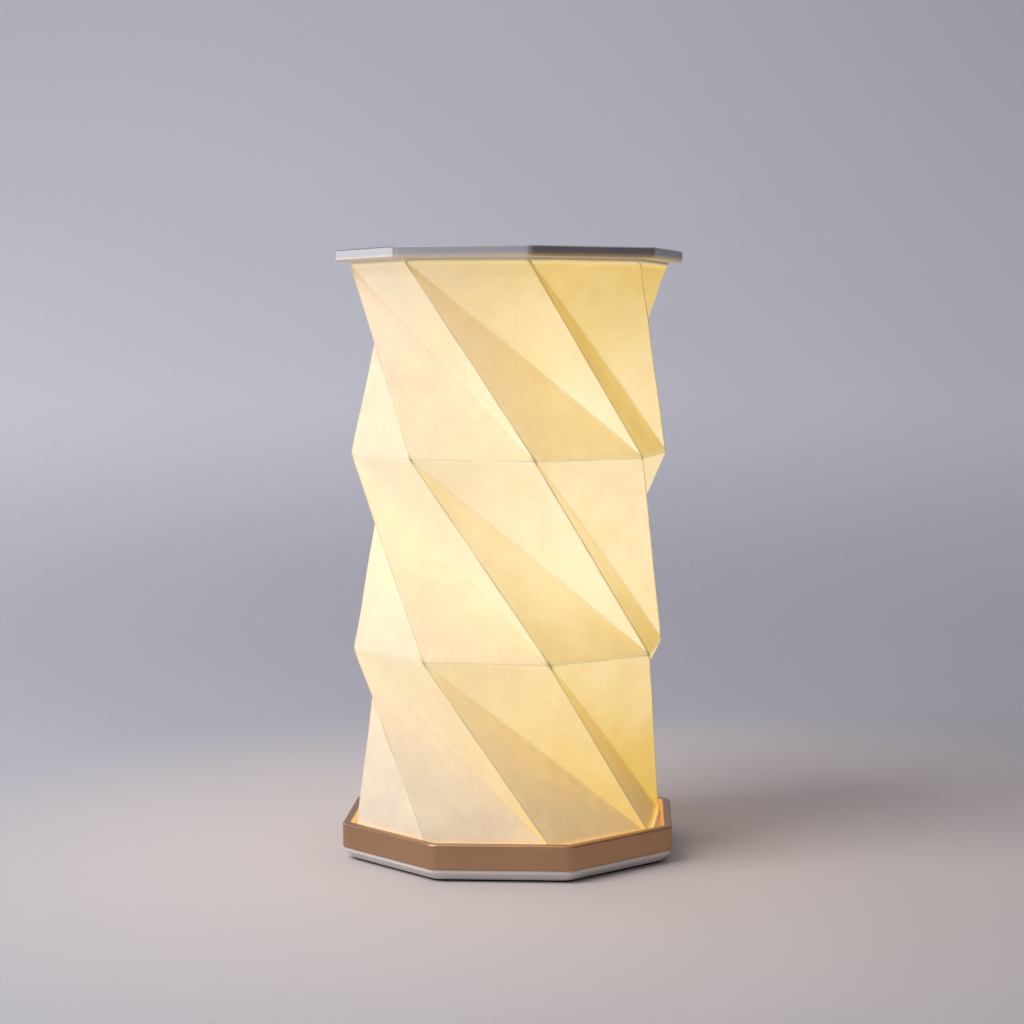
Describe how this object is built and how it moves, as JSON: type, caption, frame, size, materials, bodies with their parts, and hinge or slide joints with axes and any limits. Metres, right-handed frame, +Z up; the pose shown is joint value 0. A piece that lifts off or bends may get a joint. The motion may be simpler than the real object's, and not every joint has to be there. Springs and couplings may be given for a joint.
{
  "type": "folding paper table lamp",
  "caption": "Cordless octagonal table lamp with a twist-folded paper shade between a flat metal lid and a rimmed metal base; the lid turns down to fold it flat.",
  "frame": {"origin": "on the table under the middle of the lamp", "axes": "+Z up along the lamp's axis, -Y the front, +Y the back with the inlet and the button"},
  "size_m": [0.1404, 0.1404, 0.2455],
  "materials": {
    "pan_grey": "satin light grey paint",
    "foot_rubber": "matt black rubber",
    "bronze_metal": "satin bronze anodising with a fine grain",
    "screw_steel": "plain steel",
    "white_metal": "matt white paint",
    "frame_white": "matt white",
    "shade_paper": "translucent fibrous paper",
    "board_white": "white solder mask",
    "led_package": "phosphor yellow window",
    "diffuser_opal": "opal",
    "magnet_nickel": "nickel plate",
    "board_green": "green solder mask",
    "chip_black": "black",
    "battery_foil": "silver foil",
    "foam_grey": "closed-cell foam",
    "ribbon_white": "white film with fine conductors",
    "tape_clear": "adhesive film",
    "lid_aluminium": "fine satin aluminium"
  },
  "bodies": {
    "base": {"bottom_pan": "pan_grey", "foot_ring": "foot_rubber", "base_ring": "bronze_metal", "base_screws": "screw_steel", "well_floor": "white_metal", "floor_tape": "tape_clear", "lower_shade_frame": "frame_white", "paper_shade": "shade_paper", "led_board": "board_white", "leds": "led_package", "light_diffuser": "diffuser_opal", "closure_magnet": "magnet_nickel", "control_board": "board_green", "board_screws": "screw_steel", "board_parts": "chip_black", "usb_shell": "magnet_nickel", "usb_tongue": "chip_black", "switch_housing": "chip_black", "battery": "battery_foil", "battery_pad": "foam_grey", "battery_tabs": "magnet_nickel", "ribbon_socket": "frame_white", "light_ribbon": "ribbon_white"},
    "button": {"power_button": "bronze_metal", "switch_plunger": "chip_black"},
    "lid_core": {"closure_disc": "magnet_nickel"},
    "lid": {"lid_plate": "lid_aluminium", "lid_liner": "white_metal", "lid_screws": "screw_steel", "upper_shade_frame": "frame_white"}
  },
  "joints": [
    {"name": "lid_drop", "type": "slide", "parent": "base", "child": "lid_core", "axis": [0, 0, -1], "range_m": [0, 0.225], "deforming": ["paper_shade"]},
    {"name": "lid_twist", "type": "hinge", "parent": "lid_core", "child": "lid", "pos_m": [0, 0, 0.2415], "axis": [0, 0, 1], "range_deg": [-122, 0]},
    {"name": "power_push", "type": "slide", "parent": "base", "child": "button", "axis": [0, -1, 0], "range_m": [0, 0.0006], "stiffness_N_per_m": 600}
  ],
  "couplings": [
    {"joint": "lid_twist", "follows": "lid_drop", "rad_per_m": -9.448}
  ]
}
